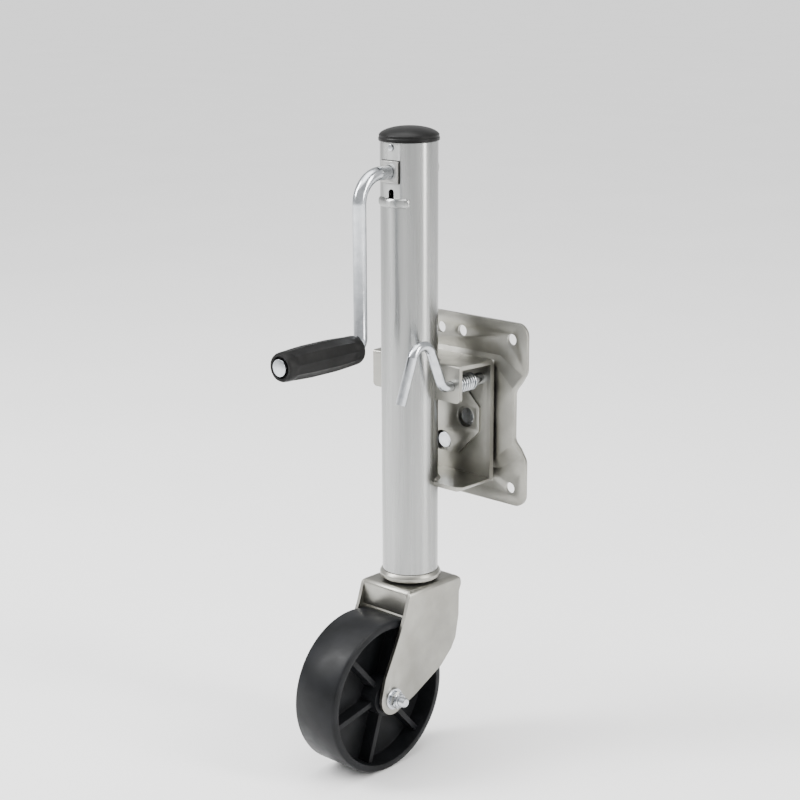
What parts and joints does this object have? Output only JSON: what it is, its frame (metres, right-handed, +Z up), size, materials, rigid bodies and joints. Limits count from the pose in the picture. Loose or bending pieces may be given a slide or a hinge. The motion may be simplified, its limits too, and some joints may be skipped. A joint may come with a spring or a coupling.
{
  "type": "trailer tongue jack",
  "caption": "Zinc-plated swing-up trailer tongue jack with a side crank, pull-pin swivel bracket, bolt-on mounting plate and black caster wheel.",
  "frame": {"origin": "centre of the four corner bolt holes, on the back face of the mounting plate", "axes": "+Z up along the tube, +Y out of the plate's back towards the trailer frame, +X along the wheel axle"},
  "size_m": [0.187, 0.2337, 0.615],
  "materials": {
    "tube_zinc": "satin",
    "plate_zinc": "satin",
    "bright_zinc": "bright",
    "dull_steel": "matte",
    "bearing_steel": "polished",
    "gear_steel": "greased",
    "weld_steel": "rough",
    "nut_brass": "satin",
    "black_plastic": "satin",
    "grip_plastic": "satin",
    "wheel_plastic": "satin",
    "black_rubber": "matte"
  },
  "bodies": {
    "mount": {"mounting_plate": "plate_zinc"},
    "jack": {"channel_bracket": "plate_zinc", "swivel_plate": "plate_zinc", "swivel_hub": "dull_steel", "swivel_bolts": "bright_zinc", "swivel_retainer": "dull_steel", "weld_beads": "weld_steel", "outer_tube": "tube_zinc", "top_cap": "black_plastic", "cap_rivet": "bright_zinc", "bush_gasket": "black_rubber", "crank_bush_front": "dull_steel", "crank_bush_rear": "dull_steel", "bearing_plate": "dull_steel", "thrust_race_lower": "bearing_steel", "thrust_balls": "bearing_steel", "guide_bush": "black_plastic", "pin_spring": "bright_zinc"},
    "pin": {"pull_pin_handle": "bright_zinc", "pull_pin_nose": "bright_zinc", "pin_collar": "bright_zinc"},
    "crank": {"crank_handle": "bright_zinc", "crank_clip": "dull_steel", "bevel_pinion": "gear_steel", "pinion_pin": "dull_steel", "grip_end_cap": "bright_zinc"},
    "grip": {"handle_grip": "grip_plastic"},
    "screw": {"lead_screw": "gear_steel", "bevel_gear": "gear_steel", "gear_pin": "dull_steel", "thrust_race_upper": "bearing_steel"},
    "inner": {"inner_tube": "tube_zinc", "wear_ring": "black_plastic", "lead_nut": "nut_brass", "end_plug": "dull_steel", "swivel_collar": "plate_zinc", "kingpin": "dull_steel", "caster_washer": "black_plastic", "kingpin_washer": "dull_steel", "kingpin_nut": "dull_steel"},
    "fork": {"caster_fork": "plate_zinc", "axle_bolt": "bright_zinc", "axle_washers": "bright_zinc", "axle_nut": "bright_zinc", "axle_sleeve": "dull_steel"},
    "wheel": {"caster_wheel": "wheel_plastic", "wheel_bush": "dull_steel"}
  },
  "joints": [
    {"name": "bracket_swivel", "type": "hinge", "parent": "mount", "child": "jack", "pos_m": [0, 0, -0.0075], "axis": [0, 1, 0], "range_deg": [-90, 90]},
    {"name": "pull_pin_slide", "type": "slide", "parent": "jack", "child": "pin", "axis": [0, -1, 0], "range_m": [0, 0.008], "stiffness_N_per_m": 1500, "deforming": ["pin_spring"]},
    {"name": "crank_turn", "type": "hinge", "parent": "jack", "child": "crank", "pos_m": [0, -0.0637, 0.2327], "axis": [0, -1, 0], "range_deg": [0, 22860]},
    {"name": "grip_spin", "type": "hinge", "parent": "crank", "child": "grip", "pos_m": [0, -0.18, 0.0751], "axis": [0, -1, 0], "continuous": true},
    {"name": "screw_turn", "type": "hinge", "parent": "jack", "child": "screw", "pos_m": [0, -0.0637, 0.1], "axis": [0, 0, 1], "range_deg": [0, 15241]},
    {"name": "lift", "type": "slide", "parent": "jack", "child": "inner", "axis": [0, 0, -1], "range_m": [0, 0.2541]},
    {"name": "caster_swivel", "type": "hinge", "parent": "inner", "child": "fork", "pos_m": [0, -0.0637, -0.17], "axis": [0, 0, 1], "continuous": true},
    {"name": "wheel_spin", "type": "hinge", "parent": "fork", "child": "wheel", "pos_m": [0, -0.1231, -0.2662], "axis": [1, 0, 0], "continuous": true}
  ],
  "couplings": [
    {"joint": "screw_turn", "follows": "crank_turn", "ratio": 0.66667},
    {"joint": "lift", "follows": "crank_turn", "m_per_rad": 0.00063662}
  ]
}
